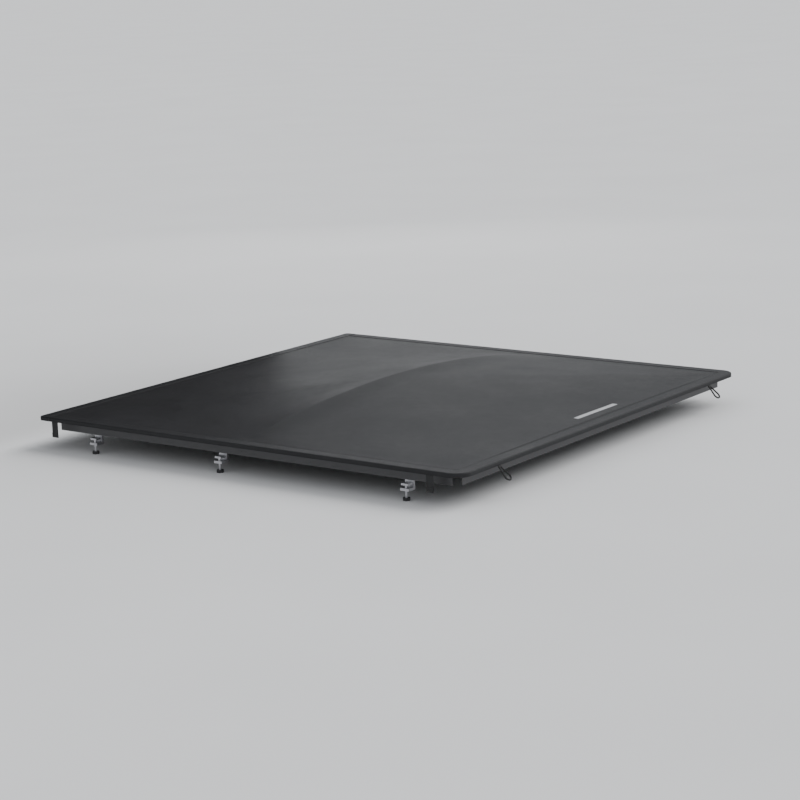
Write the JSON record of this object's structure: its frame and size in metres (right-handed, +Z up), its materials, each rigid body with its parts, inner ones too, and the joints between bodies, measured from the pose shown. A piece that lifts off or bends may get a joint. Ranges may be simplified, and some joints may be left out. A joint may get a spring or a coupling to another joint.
{
  "type": "tonneau cover",
  "caption": "Soft clip-on tonneau cover for a pickup tub: black vinyl over a sprung centre bow, on a clamped aluminium rail frame, folding forward in two panels.",
  "frame": {"origin": "middle of the front seal's underside, level with the top of the tub rim", "axes": "+X to the vehicle's right, +Y towards the cab, +Z up"},
  "size_m": [1.62, 1.6771, 0.1693],
  "materials": {
    "rail_powder_coat": "satin black powder coat",
    "seal_rubber": "closed-cell foam rubber, matt",
    "moulded_plastic": "black glass-filled nylon, fine moulded grain",
    "clip_plastic": "extruded black PVC strip",
    "zinc_steel": "bright zinc plate",
    "bolt_steel": "zinc-plated thread and black hand knob",
    "spring_steel": "bright spring wire",
    "clamp_casting": "extruded aluminium, satin",
    "bow_aluminium": "mill-finish drawn tube",
    "webbing": "woven polyester webbing, black",
    "loop_rubber": "moulded black rubber",
    "cover_vinyl": "black PVC-coated polyester with a fine grain",
    "sleeve_cloth": "woven black polyester"
  },
  "bodies": {
    "root": {"left_rail": "rail_powder_coat", "right_rail": "rail_powder_coat", "front_rail": "rail_powder_coat", "rear_rail": "rail_powder_coat", "left_seal": "seal_rubber", "right_seal": "seal_rubber", "front_seal": "seal_rubber", "rear_seal": "seal_rubber", "front_left_corner": "moulded_plastic", "front_right_corner": "moulded_plastic", "rear_left_corner": "moulded_plastic", "rear_right_corner": "moulded_plastic", "corner_screws": "zinc_steel", "bow_socket_screws": "moulded_plastic", "left_bow_socket": "moulded_plastic", "right_bow_socket": "moulded_plastic", "left_clamp_brackets": "clamp_casting", "right_clamp_brackets": "clamp_casting", "front_fabric_strip": "cover_vinyl", "front_skirt": "cover_vinyl", "front_clip_strip": "clip_plastic"},
    "front_panel": {"front_fabric": "cover_vinyl", "left_front_skirt": "cover_vinyl", "right_front_skirt": "cover_vinyl", "left_front_clip_strip": "clip_plastic", "right_front_clip_strip": "clip_plastic", "support_bow": "bow_aluminium", "bow_sleeve": "sleeve_cloth", "left_bow_end": "moulded_plastic", "right_bow_end": "moulded_plastic", "left_bow_spring": "spring_steel", "right_bow_spring": "spring_steel"},
    "rear_panel": {"rear_fabric": "cover_vinyl", "rear_skirt": "cover_vinyl", "left_rear_clip_strip": "clip_plastic", "right_rear_clip_strip": "clip_plastic", "rear_clip_strip": "clip_plastic"},
    "left_bow_plunger": {"left_bow_plunger": "zinc_steel"},
    "left_front_pull_tab": {"left_front_pull_tab": "webbing"},
    "left_rear_pull_tab": {"left_rear_pull_tab": "webbing"},
    "left_pull_loop": {"left_pull_loop": "loop_rubber"},
    "left_clamp_1_jaw": {"left_clamp_1_jaw": "clamp_casting"},
    "left_clamp_1_bolt": {"left_clamp_1_bolt": "bolt_steel"},
    "left_clamp_2_jaw": {"left_clamp_2_jaw": "clamp_casting"},
    "left_clamp_2_bolt": {"left_clamp_2_bolt": "bolt_steel"},
    "left_clamp_3_jaw": {"left_clamp_3_jaw": "clamp_casting"},
    "left_clamp_3_bolt": {"left_clamp_3_bolt": "bolt_steel"},
    "right_bow_plunger": {"right_bow_plunger": "zinc_steel"},
    "right_front_pull_tab": {"right_front_pull_tab": "webbing"},
    "right_rear_pull_tab": {"right_rear_pull_tab": "webbing"},
    "right_pull_loop": {"right_pull_loop": "loop_rubber"},
    "right_clamp_1_jaw": {"right_clamp_1_jaw": "clamp_casting"},
    "right_clamp_1_bolt": {"right_clamp_1_bolt": "bolt_steel"},
    "right_clamp_2_jaw": {"right_clamp_2_jaw": "clamp_casting"},
    "right_clamp_2_bolt": {"right_clamp_2_bolt": "bolt_steel"},
    "right_clamp_3_jaw": {"right_clamp_3_jaw": "clamp_casting"},
    "right_clamp_3_bolt": {"right_clamp_3_bolt": "bolt_steel"}
  },
  "joints": [
    {"name": "front_fold", "type": "hinge", "parent": "root", "child": "front_panel", "pos_m": [0, -0.02, 0.02], "axis": [-1, 0, 0], "range_deg": [0, 75]},
    {"name": "bow_fold", "type": "hinge", "parent": "front_panel", "child": "rear_panel", "pos_m": [0, -0.797, 0.0865], "axis": [-1, 0, 0], "range_deg": [0, 176]},
    {"name": "left_plunger_slide", "type": "slide", "parent": "front_panel", "child": "left_bow_plunger", "axis": [1, 0, 0], "range_m": [0, 0.01], "stiffness_N_per_m": 800, "springref_m": -0.003, "deforming": ["left_bow_spring"]},
    {"name": "left_front_pull_tab_flap", "type": "hinge", "parent": "front_panel", "child": "left_front_pull_tab", "pos_m": [-0.8082, -0.047, 0.0004], "axis": [0, 1, 0], "range_deg": [0, 100]},
    {"name": "left_rear_pull_tab_flap", "type": "hinge", "parent": "rear_panel", "child": "left_rear_pull_tab", "pos_m": [-0.8082, -1.507, 0.0004], "axis": [0, 1, 0], "range_deg": [0, 100]},
    {"name": "left_pull_loop_flap", "type": "hinge", "parent": "rear_panel", "child": "left_pull_loop", "pos_m": [-0.62, -1.618, -0.0023], "axis": [-1, 0, 0], "range_deg": [0, 95]},
    {"name": "left_clamp_1_jaw_slide", "type": "slide", "parent": "root", "child": "left_clamp_1_jaw", "axis": [0, 0, 1], "range_m": [0, 0.0075]},
    {"name": "left_clamp_1_bolt_turn", "type": "hinge", "parent": "left_clamp_1_jaw", "child": "left_clamp_1_bolt", "pos_m": [-0.779, -0.191, -0.07], "axis": [0, 0, 1], "range_deg": [0, 2160]},
    {"name": "left_clamp_2_jaw_slide", "type": "slide", "parent": "root", "child": "left_clamp_2_jaw", "axis": [0, 0, 1], "range_m": [0, 0.0075]},
    {"name": "left_clamp_2_bolt_turn", "type": "hinge", "parent": "left_clamp_2_jaw", "child": "left_clamp_2_bolt", "pos_m": [-0.779, -0.707, -0.07], "axis": [0, 0, 1], "range_deg": [0, 2160]},
    {"name": "left_clamp_3_jaw_slide", "type": "slide", "parent": "root", "child": "left_clamp_3_jaw", "axis": [0, 0, 1], "range_m": [0, 0.0075]},
    {"name": "left_clamp_3_bolt_turn", "type": "hinge", "parent": "left_clamp_3_jaw", "child": "left_clamp_3_bolt", "pos_m": [-0.779, -1.403, -0.07], "axis": [0, 0, 1], "range_deg": [0, 2160]},
    {"name": "right_plunger_slide", "type": "slide", "parent": "front_panel", "child": "right_bow_plunger", "axis": [-1, 0, 0], "range_m": [0, 0.01], "stiffness_N_per_m": 800, "springref_m": -0.003, "deforming": ["right_bow_spring"]},
    {"name": "right_front_pull_tab_flap", "type": "hinge", "parent": "front_panel", "child": "right_front_pull_tab", "pos_m": [0.8082, -0.047, 0.0004], "axis": [0, -1, 0], "range_deg": [0, 100]},
    {"name": "right_rear_pull_tab_flap", "type": "hinge", "parent": "rear_panel", "child": "right_rear_pull_tab", "pos_m": [0.8082, -1.507, 0.0004], "axis": [0, -1, 0], "range_deg": [0, 100]},
    {"name": "right_pull_loop_flap", "type": "hinge", "parent": "rear_panel", "child": "right_pull_loop", "pos_m": [0.62, -1.618, -0.0023], "axis": [-1, 0, 0], "range_deg": [0, 95]},
    {"name": "right_clamp_1_jaw_slide", "type": "slide", "parent": "root", "child": "right_clamp_1_jaw", "axis": [0, 0, 1], "range_m": [0, 0.0075]},
    {"name": "right_clamp_1_bolt_turn", "type": "hinge", "parent": "right_clamp_1_jaw", "child": "right_clamp_1_bolt", "pos_m": [0.779, -0.191, -0.07], "axis": [0, 0, 1], "range_deg": [0, 2160]},
    {"name": "right_clamp_2_jaw_slide", "type": "slide", "parent": "root", "child": "right_clamp_2_jaw", "axis": [0, 0, 1], "range_m": [0, 0.0075]},
    {"name": "right_clamp_2_bolt_turn", "type": "hinge", "parent": "right_clamp_2_jaw", "child": "right_clamp_2_bolt", "pos_m": [0.779, -0.707, -0.07], "axis": [0, 0, 1], "range_deg": [0, 2160]},
    {"name": "right_clamp_3_jaw_slide", "type": "slide", "parent": "root", "child": "right_clamp_3_jaw", "axis": [0, 0, 1], "range_m": [0, 0.0075]},
    {"name": "right_clamp_3_bolt_turn", "type": "hinge", "parent": "right_clamp_3_jaw", "child": "right_clamp_3_bolt", "pos_m": [0.779, -1.403, -0.07], "axis": [0, 0, 1], "range_deg": [0, 2160]}
  ],
  "couplings": [
    {"joint": "left_clamp_1_bolt_turn", "follows": "left_clamp_1_jaw_slide", "rad_per_m": 5026},
    {"joint": "left_clamp_2_bolt_turn", "follows": "left_clamp_2_jaw_slide", "rad_per_m": 5026},
    {"joint": "left_clamp_3_bolt_turn", "follows": "left_clamp_3_jaw_slide", "rad_per_m": 5026},
    {"joint": "right_clamp_1_bolt_turn", "follows": "right_clamp_1_jaw_slide", "rad_per_m": 5026},
    {"joint": "right_clamp_2_bolt_turn", "follows": "right_clamp_2_jaw_slide", "rad_per_m": 5026},
    {"joint": "right_clamp_3_bolt_turn", "follows": "right_clamp_3_jaw_slide", "rad_per_m": 5026}
  ]
}
